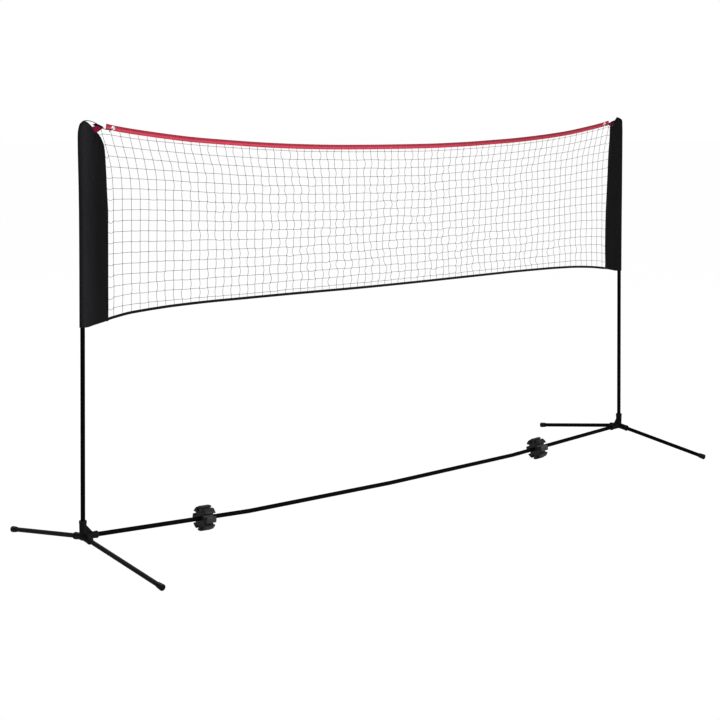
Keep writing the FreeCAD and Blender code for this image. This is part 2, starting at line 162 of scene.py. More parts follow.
# =============================================================================
# materials, all from nodes
# =============================================================================
class Mat:
    def __init__(self, name):
        self.m = bpy.data.materials.new(name)
        self.m.use_nodes = True
        self.nt = self.m.node_tree
        self.b = self.nt.nodes["Principled BSDF"]
        self.co = self.node("ShaderNodeTexCoord").outputs["Object"]

    def node(self, kind, **props):
        n = self.nt.nodes.new(kind)
        for k, v in props.items():
            setattr(n, k, v)
        return n

    def link(self, a, b):
        self.nt.links.new(a, b)

    def put(self, sock, v):
        if isinstance(v, bpy.types.NodeSocket):
            self.link(v, sock)
        else:
            sock.default_value = v

    def math(self, op, a, b=0.0, c=0.0):
        n = self.node("ShaderNodeMath", operation=op)
        for s, v in zip(n.inputs, (a, b, c)):
            self.put(s, v)
        return n.outputs[0]

    def noise(self, scale, detail=2.0, rough=0.5, co=None):
        n = self.node("ShaderNodeTexNoise")
        self.link(co or self.co, n.inputs["Vector"])
        n.inputs["Scale"].default_value = scale
        n.inputs["Detail"].default_value = detail
        n.inputs["Roughness"].default_value = rough
        return n.outputs["Fac"]

    def voronoi(self, scale, feature="F1"):
        n = self.node("ShaderNodeTexVoronoi", feature=feature)
        self.link(self.co, n.inputs["Vector"])
        n.inputs["Scale"].default_value = scale
        return n.outputs["Distance"]

    def ramp(self, fac, stops):
        n = self.node("ShaderNodeValToRGB")
        self.link(fac, n.inputs["Fac"])
        el = n.color_ramp.elements
        while len(el) < len(stops):
            el.new(0.5)
        for e, (p, c) in zip(el, stops):
            e.position = p
            e.color = (*c, 1.0) if len(c) == 3 else c
        return n.outputs["Color"]

    def remap(self, v, a, b, c, d):
        n = self.node("ShaderNodeMapRange")
        self.link(v, n.inputs[0])
        for i, x in enumerate((a, b, c, d)):
            n.inputs[i + 1].default_value = x
        return n.outputs[0]

    def mix(self, fac, a, b, mode="MIX"):
        n = self.node("ShaderNodeMix", data_type="RGBA", blend_type=mode)
        self.put(n.inputs[0], fac)
        self.put(n.inputs[6], a if isinstance(a, bpy.types.NodeSocket) else (*a, 1.0))
        self.put(n.inputs[7], b if isinstance(b, bpy.types.NodeSocket) else (*b, 1.0))
        return n.outputs[2]

    def bump(self, height, strength=0.3, dist=0.0005, normal=None):
        n = self.node("ShaderNodeBump")
        n.inputs["Strength"].default_value = strength
        n.inputs["Distance"].default_value = dist
        self.link(height, n.inputs["Height"])
        if normal is not None:
            self.link(normal, n.inputs["Normal"])
        self.link(n.outputs[0], self.b.inputs["Normal"])
        return n.outputs[0]

    def axes(self):
        n = self.node("ShaderNodeSeparateXYZ")
        self.link(self.co, n.inputs[0])
        return n.outputs

    def wave(self, v, pitch, phase=0.0):
        return self.math("SINE", self.math("MULTIPLY_ADD", v, 2 * math.pi / pitch, phase))

    def set(self, **kw):
        for k, v in kw.items():
            s = self.b.inputs[k.replace("_", " ")]
            self.put(s, v)
        return self


def edge_wear(m):
    """0 on flat surfaces, towards 1 on sharp convex edges."""
    g = m.node("ShaderNodeNewGeometry")
    return m.remap(g.outputs["Pointiness"], 0.52, 0.60, 0.0, 1.0)


def mat_paint(name="paint_black", lo=(0.0018, 0.0019, 0.0021), hi=(0.0033, 0.0034, 0.0038), grey=(0.009, 0.009, 0.010)):
    m = Mat(name)
    big, fine = m.noise(9.0, 3.0, 0.6), m.noise(420.0, 2.0, 0.5)
    dust = m.remap(m.noise(38.0, 5.0, 0.65), 0.48, 0.75, 0.0, 0.35)
    col = m.mix(big, lo, hi)
    col = m.mix(dust, col, grey)
    col = m.mix(m.math("MULTIPLY", edge_wear(m), 0.02), col, (0.10, 0.10, 0.105))
    m.set(Base_Color=col, Roughness=m.remap(fine, 0.3, 0.7, 0.34, 0.44), Specular_IOR_Level=0.05)
    m.bump(m.math("ADD", fine, m.math("MULTIPLY", m.noise(1600.0, 1.0), 0.5)), 0.10, 0.00015)
    return m.m


def mat_plastic(name, lo, hi, rough, grain=0.18, scale=1400.0, spec=0.32, rim=None):
    m = Mat(name)
    big = m.noise(14.0, 4.0, 0.6)
    g = m.math("ADD", m.noise(scale, 3.0, 0.6), m.math("MULTIPLY", m.voronoi(scale * 0.7), 0.6))
    scuff = m.remap(m.noise(60.0, 6.0, 0.7), 0.56, 0.72, 0.0, 0.5)
    col = m.mix(big, lo, hi)
    col = m.mix(m.math("MULTIPLY", scuff, 0.25), col, tuple(min(1, c * 2.2 + 0.01) for c in hi))
    col = m.mix(m.math("MULTIPLY", edge_wear(m), 0.35), col, tuple(c * 2.4 + 0.012 for c in hi))
    if rim:
        # painted light and shade: the outer rim is coloured lighter and the two side faces darker, by where the light
        # falls
        n = m.node("ShaderNodeSeparateXYZ")
        m.link(m.node("ShaderNodeNewGeometry").outputs["Normal"], n.inputs[0])
        side = m.remap(m.math("ABSOLUTE", n.outputs[0]), 0.45, 0.85, 0.0, 1.0)
        col = m.mix(1.0, col, m.mix(side, (rim[0],) * 3, (rim[1],) * 3), "MULTIPLY")
    m.set(Base_Color=col, Roughness=m.remap(m.math("ADD", big, m.math("MULTIPLY", scuff, 0.6)), 0.3, 1.0,
                                            rough - 0.05, rough + 0.12), Specular_IOR_Level=spec)
    m.bump(g, grain, 0.00012)
    return m.m


def weave(m, u, v, pitch):
    """Height of a plain weave with threads along u and v."""
    a, b = m.wave(u, pitch * 2), m.wave(v, pitch * 2)
    over = m.math("MULTIPLY", a, b)
    ra = m.math("ABSOLUTE", m.wave(u, pitch * 2, math.pi / 2))
    rb = m.math("ABSOLUTE", m.wave(v, pitch * 2, math.pi / 2))
    return m.math("ADD", m.math("MULTIPLY", over, 0.5),
                  m.math("MULTIPLY", m.math("ADD", ra, rb), -0.35))


def mat_cloth(name, lo, hi, pitch=0.0007, rough=0.82, sheen=0.25, wear=None, spec=0.25, strength=0.35, shade_band=False,
              painted_light=None):
    m = Mat(name)
    x, y, z = m.axes()
    h = weave(m, x, z, pitch)
    slub = m.noise(240.0, 3.0, 0.6)
    big = m.noise(7.0, 4.0, 0.6)
    f = m.math("ADD", m.math("MULTIPLY", big, 0.6), m.math("MULTIPLY", slub, 0.4))
    col = m.mix(f, lo, hi)
    if painted_light:
        # painted light: the cloth is coloured lighter where it curves round the post, most of all on the left, and
        # lower down on the left half
        side = m.math("ADD", m.remap(x, 1.430, 1.500, 0.0, 0.11), m.remap(x, 0.0, -0.5, 0.0, 0.19))
        side = m.math("ADD", side, m.remap(x, -1.436, -1.508, 0.0, 0.81))
        side = m.math("ADD", side, m.math("MULTIPLY", m.remap(x, 0.0, -0.5, 0.0, 0.13), m.remap(z, 1.08, 0.90, 0.0, 1.0)))
        col = m.mix(side, col, m.mix(f, painted_light[0], painted_light[1]))
    # painted shade: the hollows of the weave are coloured darker
    col = m.mix(m.remap(h, -0.9, 0.4, 0.30, 0.0), col, tuple(c * 0.45 for c in lo))
    if wear:
        lint = m.remap(m.noise(900.0, 2.0, 0.7), 0.66, 0.80, 0.0, 0.5)
        col = m.mix(lint, col, wear)
    if shade_band:
        # painted shade: the upper band of the strip is coloured darker
        at = m.node("ShaderNodeAttribute", attribute_name="shade_band")
        col = m.mix(at.outputs["Fac"], col, (0.62, 0.62, 0.62), "MULTIPLY")
        # painted shade: darker towards the right end
        col = m.mix(m.remap(x, -0.05, 0.80, 0.0, 1.0), col, (0.73, 0.72, 0.70), "MULTIPLY")
    m.set(Base_Color=col, Roughness=m.remap(slub, 0.3, 0.7, rough - 0.06, rough + 0.08),
          Specular_IOR_Level=spec, Sheen_Weight=sheen, Sheen_Roughness=0.45)
    m.bump(m.math("ADD", h, m.math("MULTIPLY", slub, 0.7)), strength, 0.00018)
    return m.m


def mat_thread(name, lo, hi, rough=0.75, twist=0.0016, sheen=0.2):
    """Twisted yarn: fine slanting grooves in the row frame."""
    m = Mat(name)
    x, y, z = m.axes()
    d = m.math("ADD", m.math("ADD", x, y), z)
    w = m.wave(d, twist)
    fib = m.noise(1300.0, 3.0, 0.6)
    # painted shade: the colour follows the twist, darker in its grooves, mixed with the fibres' own tone
    col = m.mix(m.math("ADD", m.math("MULTIPLY", w, 0.25), m.math("MULTIPLY", fib, 0.7)), lo, hi)
    m.set(Base_Color=col, Roughness=rough, Specular_IOR_Level=0.25, Sheen_Weight=sheen)
    m.bump(m.math("ADD", w, fib), 0.4, 0.0002)
    return m.m


def mat_metal():
    m = Mat("eyelet_metal")
    n = m.noise(500.0, 4.0, 0.6)
    col = m.mix(m.noise(60.0, 3.0), (0.80, 0.80, 0.81), (0.92, 0.92, 0.93))
    m.set(Base_Color=col, Metallic=0.35, Roughness=m.remap(n, 0.3, 0.7, 0.30, 0.44), Specular_IOR_Level=0.8)
    m.bump(n, 0.08, 0.0001)
    return m.m


paint = mat_paint()
# painted light: the left legs and the left hub are coloured lighter than the right ones, standing in for more light
# falling on the left end
leg_paint = {"left": mat_paint("paint_lit_left", (0.0350, 0.0355, 0.0370), (0.0490, 0.0495, 0.0515), (0.062, 0.062, 0.064)),
             "right": paint}
hub_mat = {"left": mat_plastic("hub_plastic_lit_left", (0.0080, 0.0082, 0.0090), (0.0165, 0.0168, 0.0180), 0.50, spec=0.18),
           "right": mat_plastic("hub_plastic_right", (0.0048, 0.0050, 0.0056), (0.0098, 0.0100, 0.0110), 0.50, spec=0.15)}
cap_mat = mat_plastic("cap_plastic", (0.0060, 0.0060, 0.0066), (0.0115, 0.0115, 0.0124), 0.42, spec=0.30)
# rim: painted light on the clip's rim, painted shade on its side faces
clip_mat = mat_plastic("clip_plastic", (0.013, 0.0135, 0.0145), (0.024, 0.0245, 0.026), 0.46, 0.22, 1100.0, spec=0.60,
                       rim=(1.45, 0.72))
sleeve_mat = mat_cloth("sleeve_cloth", (0.0038, 0.0038, 0.0043), (0.0070, 0.0070, 0.0077), 0.0008, 0.80, 0.08,
                       wear=(0.030, 0.030, 0.032), spec=0.20,
                       painted_light=((0.0235, 0.0237, 0.0268), (0.0430, 0.0433, 0.0485)))
hem_mat = mat_cloth("binding_black", (0.0040, 0.0040, 0.0044), (0.0080, 0.0080, 0.0086), 0.0006, 0.72, 0.08)
red_mat = mat_cloth("tape_red", (0.71, 0.090, 0.144), (0.85, 0.124, 0.196), 0.0006, 0.70, 0.08, spec=0.16, shade_band=True)
tab_mat = mat_cloth("tab_red", (0.240, 0.0080, 0.052), (0.330, 0.0120, 0.078), 0.0007, 0.74, 0.05, spec=0.14)
string_mat = mat_thread("net_string", (0.008, 0.008, 0.009), (0.022, 0.022, 0.024), sheen=0.08)
cord_mat = mat_thread("cord_black", (0.006, 0.006, 0.007), (0.016, 0.016, 0.018), 0.7, 0.0022)
thread_red = mat_thread("thread_red", (0.42, 0.030, 0.060), (0.56, 0.048, 0.085), 0.6, 0.0009, sheen=0.08)
thread_dark = mat_thread("thread_dark", (0.010, 0.010, 0.011), (0.022, 0.022, 0.024), 0.6, 0.0009)
metal = mat_metal()


def dress(name, mat, bevel=None):
    """Give a CAD node its material, and a soft edge where a moulding has one."""
    ob = nodes[name]
    ob.data.materials.clear()
    ob.data.materials.append(mat)
    if bevel:
        b = ob.modifiers.new("soft_edge", "BEVEL")
        b.width, b.segments, b.limit_method, b.angle_limit = bevel, 2, "ANGLE", math.radians(38)
        b.harden_normals = False
    return ob


for side in ("left", "right"):
    dress("hub_" + side, hub_mat[side], 0.0007)
    dress("storage_clip_" + side, clip_mat, 0.0007)
    dress("post_cap_" + side, cap_mat)
    dress("grommet_" + side, metal)
    for n in ("bar_tube_outer_", "bar_tube_inner_", "post_lower_", "post_upper_"):
        dress(n + side, paint)
    for end in ("front", "rear"):
        dress("leg_tube_%s_%s" % (end, side), leg_paint[side])
        dress("foot_cap_%s_%s" % (end, side), cap_mat, 0.0006)

# =============================================================================
# lines that the fabric follows (metres, x and z)
# =============================================================================
TAPE = np.array([(-1.400, 1.533), (-1.360, 1.525), (-1.296, 1.515), (-1.208, 1.503), (-1.119, 1.492),
                 (-1.028, 1.482), (-0.935, 1.474), (-0.840, 1.467), (-0.743, 1.460), (-0.644, 1.454),
                 (-0.543, 1.449), (-0.440, 1.445), (-0.334, 1.442), (-0.226, 1.440), (0, 1.438),
                 (0.231, 1.438), (0.352, 1.440), (0.476, 1.443), (0.603, 1.448), (0.733, 1.4535),
                 (0.866, 1.4615), (1.003, 1.472), (1.143, 1.486), (1.286, 1.506), (1.360, 1.5175), (1.403, 1.526), (1.419, 1.5292)])
EDGE = np.array([(-1.3926, 0.843), (-1.374, 0.847), (-1.306, 0.857), (-1.236, 0.862), (-1.165, 0.8655),
                 (-1.093, 0.868), (-0.950, 0.870), (-0.790, 0.8695), (-0.550, 0.8685), (-0.390, 0.867),
                 (-0.130, 0.865), (0.150, 0.865), (0.340, 0.866), (0.540, 0.867), (0.750, 0.868), (0.960, 0.867),
                 (1.074, 0.865), (1.187, 0.861), (1.303, 0.852), (1.3926, 0.841)])
tape_pts = smooth_curve(TAPE, 471)
edge_pts = smooth_curve(EDGE, 441)


def tape_z(x):
    return np.interp(x, tape_pts[:, 0], tape_pts[:, 1])


def edge_z(x):
    return np.interp(x, edge_pts[:, 0], edge_pts[:, 1])


# Sleeve outlines: distance from the post axis, away from the net and towards it, by height
OUT = {-1: [(0.822, 0.0108), (1.00, 0.0108), (1.13, 0.0112), (1.237, 0.0120), (1.343, 0.0140), (1.45, 0.0170),
            (1.500, 0.0175), (1.515, 0.0166), (1.5252, 0.0148), (1.5345, 0.0118), (1.5400, 0.0096), (1.5445, 0.0068),
            (1.5482, 0.0034), (1.5512, -0.0006), (1.5530, -0.0040)],
       1: [(0.822, 0.0108), (0.94, 0.0112), (1.10, 0.0130), (1.20, 0.0150), (1.40, 0.0175), (1.500, 0.0182),
           (1.530, 0.0180), (1.538, 0.0168), (1.5429, 0.0145), (1.5465, 0.0105), (1.5490, 0.0050), (1.5510, -0.0010),
           (1.5530, -0.0070)]}
INN = {-1: [(0.822, 0.1070), (0.843, 0.1070), (1.230, 0.1068), (1.304, 0.102), (1.375, 0.0985), (1.411, 0.096),
            (1.447, 0.093), (1.468, 0.089), (1.479, 0.084), (1.490, 0.078), (1.501, 0.071), (1.512, 0.061),
            (1.522, 0.052), (1.5305, 0.0424), (1.5375, 0.0342), (1.5458, 0.0252), (1.5495, 0.0180), (1.5520, 0.0120),
            (1.5530, 0.0085)],
       1: [(0.822, 0.1040), (0.867, 0.1015), (0.943, 0.1040), (1.095, 0.1000), (1.246, 0.0890), (1.397, 0.0790),
           (1.450, 0.0720), (1.480, 0.0690), (1.505, 0.0690), (1.522, 0.0690), (1.529, 0.0630), (1.5330, 0.0500),
           (1.5370, 0.0360), (1.5410, 0.0290), (1.5460, 0.0250), (1.5500, 0.0205), (1.5530, 0.0140)]}


def inner_x(s, z):
    """x of the sleeve's net-side edge."""
    return s * (HS - lerp_table(INN[s], z))


# =============================================================================
# string mesh: square cells, knotted; strings run slack away from the posts
# =============================================================================
COLS, ROWS = 74, 18
STRING_R = 0.00062
# sideways pull towards the posts, by depth below the tape
PULL = ([0.0, 0.059, 0.118, 0.176, 0.235, 0.294, 0.353], [1.28, 1.0, 0.63, 0.35, 0.16, 0.06, 0.0])
# the first and last level strings run close along the tape and the edging: x, depth of the first, depth of the last
MARGIN = np.array([(-1.376, 0.0270, 0.9545), (-1.2545, 0.0270, 0.9620), (-1.07, 0.0190, 0.9735), (-0.744, 0.0168, 0.9790),
                   (-0.28, 0.0173, 0.9730), (0.20, 0.0215, 0.9700), (0.80, 0.0200, 0.9705), (1.22, 0.0165, 0.9575),
                   (1.3725, 0.0165, 0.9575)])

# how the level strings between them crowd downwards or upwards: x, at mid height, at the quarters
SAG = np.array([(-1.376, -0.003, -0.002), (-1.2545, -0.007, -0.0065), (-1.07, -0.006, -0.0054), (-0.744, 0.0, -0.002),
                (-0.28, 0.0065, 0.0), (0.20, 0.010, 0.0015), (0.80, 0.0, -0.0075), (1.22, -0.0055, -0.006)])


def depth_of(x, j):
    """Fraction of the way down the net at which level string j runs."""
    a, b = np.interp(x, MARGIN[:, 0], MARGIN[:, 1]), np.interp(x, MARGIN[:, 0], MARGIN[:, 2])
    t = a + (b - a) * (j - 1) / (ROWS - 2)
    t = t + np.interp(x, SAG[:, 0], SAG[:, 1]) * np.sin(math.pi * t) + np.interp(x, SAG[:, 0], SAG[:, 2]) * np.sin(2 * math.pi * t)
    return np.where(j == 0, 0.0, np.where(j == ROWS, 1.0, t))


def net_knots():
    k = np.zeros((COLS + 1, ROWS + 1, 3))
    i = np.arange(COLS + 1)[:, None]
    j = np.arange(ROWS + 1)[None, :]
    xb = -1.3688 + (i - 1) * (1.3688 + 1.3725) / (COLS - 2)
    g = np.interp(depth_of(xb, j), *PULL)
    half = (COLS - 2) / 2
    x = xb + g * np.where(i <= COLS / 2, -0.0415 * (1 - (i - 1) / half), 0.0400 * (1 - (COLS - 1 - i) / half))
    top, bot = tape_z(x) - 0.0088, edge_z(x) + 0.0042
    # rows hang at nearly the string's own length by the posts, and crowd together in the middle
    t = depth_of(x, j)
    z = top + (bot - top) * t
    k[..., 0], k[..., 2] = x, z
    for c, s in ((0, -1), (COLS, 1)):
        k[c, :, 0] = inner_x(s, k[c, :, 2]) - s * -0.0006
        for r in range(ROWS + 1):
            k[c, r, 0] = s * max(abs(k[c, r, 0]), abs(k[abs(c - 1), r, 0]) + 0.004)
    # slack: knots wander where the cells are shorter than the string
    cell = np.abs(top - bot) * (depth_of(x, ROWS - 1) - depth_of(x, 1)) / (ROWS - 2)
    slack = np.clip((0.0385 - cell) / 0.0055, 0.0, 1.0)
    depth = np.minimum(j, ROWS - j) / 2.0
    w = slack * np.clip(depth, 0, 1) * (0.55 + 0.45 * t)

    def field(amp, cx, cz):
        f = rng.normal(size=(COLS + 9, ROWS + 9))
        for _ in range(cx):
            f = (np.roll(f, 1, 0) + f * 2 + np.roll(f, -1, 0)) / 4
        for _ in range(cz):
            f = (np.roll(f, 1, 1) + f * 2 + np.roll(f, -1, 1)) / 4
        f = f[4:-4, 4:-4]
        return amp * f / f.std()

    k[..., 0] += w * (field(0.0011, 0, 2) + field(0.0012, 4, 1))
    k[..., 2] += (0.25 + 0.75 * w) * np.clip(depth, 0, 1) * (field(0.0008, 1, 0) + field(0.0010, 3, 1))
    k[..., 1] += np.clip(depth, 0, 1) * (field(0.0012, 1, 1) + w * field(0.0045, 5, 3))
    k[0, :, 1] *= 0.2
    k[-1, :, 1] *= 0.2
    return k, w


knots, slackness = net_knots()


def relax_string(pts, sub, rest, bow_dir, hold):
    """One string through its knots: each span gets `sub` steps and bows as far as its spare length lets it."""
    out = [pts[0]]
    for a in range(len(pts) - 1):
        p, q = pts[a], pts[a + 1]
        d = np.linalg.norm(q - p)
        spare = max(rest - d, 0.0)
        amp = 0.6366 * math.sqrt(d * spare) * hold[a]
        for s in range(1, sub + 1):
            u = s / sub
            out.append(p + (q - p) * u + bow_dir[a] * amp * math.sin(math.pi * u))
    out = np.array(out)
    # knots are soft, so a string passes through them in a smooth line
    for _ in range(2):
        m = (out[:-2] + 2 * out[1:-1] + out[2:]) / 4
        keep = (np.arange(1, len(out) - 1) % sub == 0)[:, None]
        out[1:-1] = np.where(keep, out[1:-1], 0.35 * out[1:-1] + 0.65 * m)
    return out


def build_net():
    gv, gh, gk = Gather(), Gather(), Gather()
    for i in range(COLS + 1):
        pts = knots[i]
        n = ROWS
        side = np.where(np.arange(n) % 2 == 0, 1.0, -1.0) * (1 if rng.random() < 0.5 else -1)
        flip = np.where(rng.random(n) < 0.25, -1.0, 1.0)
        ang = rng.normal(0.0, 0.55, n)
        bow = np.stack([np.cos(ang) * side * flip, np.sin(ang), np.zeros(n)], 1)
        hold = 0.55 + 0.45 * rng.random(n)
        hold[[0, -1]] = 0.0
        if i in (0, COLS):
            hold[:] = 0.0
        p = relax_string(pts, 4, 0.0372, bow, hold)
        v, f = pipe(p, STRING_R * (1.5 if i in (0, COLS) else 1.0), 5)
        gv.add(v, f)
    for j in range(1, ROWS):
        pts = knots[:, j]
        n = COLS
        ang = rng.normal(0, 0.6, n)
        bow = np.stack([np.zeros(n), np.sin(ang), -np.cos(ang)], 1)
        hold = 0.35 + 0.65 * rng.random(n)
        p = relax_string(pts, 4, 0.0382, bow, hold)
        v, f = pipe(p, STRING_R, 5)
        gh.add(v, f)
    for i in range(1, COLS):
        for j in range(1, ROWS):
            c = knots[i, j]
            a = rng.uniform(0, math.pi)
            # a knot is two short bights wrapped across each other
            for turn, tilt in ((0.0, 0.35), (1.5, -0.35)):
                u = np.linspace(-1, 1, 4)
                d = np.array([math.cos(a + turn), 0.25 * math.sin(a * 3), math.sin(a + turn)])
                path = c + u[:, None] * d * 0.00115 + np.stack([0 * u, (1 - u**2) * tilt * 0.0022, 0 * u], 1)
                v, f = pipe(path, np.array([0.00055, 0.00098, 0.00098, 0.00055]), 5)
                gk.add(v, f)
    return gv.make("net_strings_upright", string_mat), gh.make("net_strings_level", string_mat), gk.make("net_knots", string_mat)


strings_v, strings_h, string_knots = build_net()
for ob in (strings_v, strings_h, string_knots):
    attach(ob, "net")
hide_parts("net_mesh")


# =============================================================================
# folded tapes: a strip folded over a cord, closed at the top, open below
# =============================================================================
def fold_section(half_h, gap, cord, thick, top_up=True):
    """Outline of a folded strip: (y, z) pairs round the outside then back inside."""
    sgn = 1.0 if top_up else -1.0
    zc = half_h - cord
    outer = [(-gap, -half_h), (-gap - 0.00015, -half_h * 0.55), (-gap + 0.0001, -half_h * 0.1),
             (-gap, zc - cord * 1.5)]
    for a in np.linspace(200, -20, 11):
        outer.append((cord * math.cos(math.radians(a)), zc + cord * math.sin(math.radians(a))))
    outer += [(gap, zc - cord * 1.5), (gap - 0.0001, -half_h * 0.1), (gap + 0.00015, -half_h * 0.55), (gap, -half_h)]
    outer = np.array(outer)
    t = np.gradient(outer, axis=0)
    t /= np.linalg.norm(t, axis=1)[:, None]
    inner = outer + np.stack([t[:, 1], -t[:, 0]], 1) * thick
    loop = np.vstack([outer, inner[::-1]])
    loop[:, 1] *= sgn
    return loop, len(outer)


def folded_strip(name, line, half_h, gap, cord, thick, mat, pucker, sway, top_up=True, ends=True):
    loop, n_out = fold_section(half_h, gap, cord, thick, top_up)
    n = len(loop)
    p = np.stack([line[:, 0], np.zeros(len(line)), line[:, 1]], 1)
    t = np.gradient(p, axis=0)
    t /= np.linalg.norm(t, axis=1)[:, None]
    up = np.stack([-t[:, 2], np.zeros(len(p)), t[:, 0]], 1)
    s = np.concatenate([[0], np.cumsum(np.linalg.norm(np.diff(p, axis=0), axis=1))])
    ph = rng.uniform(0, 6.28, 6)
    verts, faces, shade_band = [], [], []
    for i in range(len(p)):
        fade = min(1.0, min(s[i], s[-1] - s[i]) / 0.05)
        lean = sway * fade * (math.sin(s[i] * 21 + ph[0]) * 0.5 + math.sin(s[i] * 47 + ph[1]) * 0.35
                              + math.sin(s[i] * 96 + ph[2]) * 0.22)
        wig = pucker * (math.sin(s[i] * 2 * math.pi / 0.011 + ph[3]) + 0.6 * math.sin(s[i] * 2 * math.pi / 0.027 + ph[4]))
        for y, z in loop:
            low = 0.5 - z / (2 * half_h)
            low = min(max(low if top_up else 1 - low, 0.0), 1.0)
            yy = y + lean * low + wig * low * (1 if y > 0 else -1) * 0.6
            zz = z + wig * 0.35 * low
            verts.append(p[i] + np.array([0, yy, 0]) + up[i] * zz)
            # the upper part of the strip is marked for its painted shade
            shade_band.append(1.0 if z > half_h * 0.16 else 0.0)
    for i in range(len(p) - 1):
        for k in range(n):
            k2 = (k + 1) % n
            faces.append((i * n + k, i * n + k2, (i + 1) * n + k2, (i + 1) * n + k))
    for i in (0, len(p) - 1):
        for k in range(n_out - 1):
            q = (i * n + k, i * n + k + 1, i * n + n - 2 - k, i * n + n - 1 - k)
            faces.append(q if i else q[::-1])
    ob = add_mesh(name, verts, faces, mat)
    at = ob.data.attributes.new("shade_band", "FLOAT", "POINT")
    at.data.foreach_set("value", shade_band)
    return ob, p, up, s


def stitches(name, p, up, s, z, ys, mat, pitch=0.0062, length=0.0042, r=0.00033, zig=0.0, skip=()):
    """A row of separate thread stitches along a strip, at height z, on the faces at ys."""
    g = Gather()
    for k in range(int((s[-1] - 0.004) / pitch)):
        a = 0.002 + k * pitch
        if any(lo < a < hi for lo, hi in skip):
            continue
        for y in ys:
            u = np.array([0, 0.25, 0.75, 1.0]) * length + a
            c = np.stack([np.interp(u, s, p[:, d]) for d in range(3)], 1)
            n = np.stack([np.interp(u, s, up[:, d]) for d in range(3)], 1)
            off = np.array([0.0, 1.0, 1.0, 0.0]) * r * 0.9
            dz = z + zig * (1 if k % 2 else -1) * np.linspace(-1, 1, 4)
            path = c + n * dz[:, None]
            path[:, 1] += y + math.copysign(1, y) * off
            v, f = pipe(path, r, 5)
            g.add(v, f)
    ob = g.make(name, mat)
    return ob


tape, tp, tup, ts = folded_strip("top_tape_fabric", tape_pts, 0.0095, 0.00115, 0.0022, 0.0005, red_mat, 0.00018, 0.0011)
# holes for the eyelets are cut through both layers
for side in ("left", "right"):
    lo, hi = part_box("grommet_" + side)
    c = (lo + hi) / 2
    v, f = pipe([(c.x, -0.02, c.z), (c.x, 0.02, c.z)], 0.0057, 24)
    cutter = add_mesh("cut_" + side, v, f, None)
    mod = tape.modifiers.new("hole_" + side, "BOOLEAN")
    mod.operation, mod.object, mod.solver = "DIFFERENCE", cutter, "EXACT"
bpy.context.view_layer.objects.active = tape
for mod in list(tape.modifiers):
    cutter = mod.object
    with bpy.context.temp_override(object=tape, active_object=tape):
        bpy.ops.object.modifier_apply(modifier=mod.name)
    bpy.data.objects.remove(cutter)
near = [(0.012, 0.045), (ts[-1] - 0.050, ts[-1] - 0.018)]
st1 = stitches("tape_stitches_upper", tp, tup, ts, 0.0022, (-0.00125, 0.00125), thread_red, skip=near)
st2 = stitches("tape_stitches_lower", tp, tup, ts, -0.0072, (-0.00135, 0.00135), thread_red, skip=near)
edging, ep, eup, es = folded_strip("bottom_edging_fabric", edge_pts, 0.00475, 0.0011, 0.0014, 0.0005, hem_mat,
                                   0.00012, 0.0006, top_up=False)
st3 = stitches("edging_stitches", ep, eup, es, 0.0026, (-0.00125, 0.00125), thread_dark, pitch=0.0058)
for ob, sl in ((tape, "tape_red"), (st1, "tape_red"), (st2, "tape_red"), (edging, "edging_black"), (st3, "edging_black")):
    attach(ob, "net")
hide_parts("top_tape")
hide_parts("bottom_edging")


# =============================================================================
# sleeves: a doubled cloth wrapped round the post and joined on the net side
# =============================================================================
TIE = {-1: (0.058, 1.520), 1: (0.062, 1.518)}     # where the cord and the red tab hold the sleeve


def seed_folds(u, z, s):
    """Soft upright folds, and creases that fan down from the tied corner."""
    n = 0.0011 * math.sin(u * 92 + 3.1 * math.sin(z * 5.3 + s)) * math.sin(z * 7.1 + 1.3 * s + 0.4)
    n += 0.0006 * math.sin(u * 171 + z * 12 + 2 * s) * math.sin(z * 16.0 + s)
    cx, cz = TIE[s]
    dx, dz = u - cx, cz - z
    d = math.hypot(dx, dz) + 1e-6
    a = math.atan2(dx, dz)
    return n + 0.0026 * math.exp(-d / 0.16) * min(1.0, d / 0.02) * math.sin(a * 11 + s * 0.7)


U0, Z0, Z1, NU, NZ = 0.011, 0.8225, 1.540, 26, 168


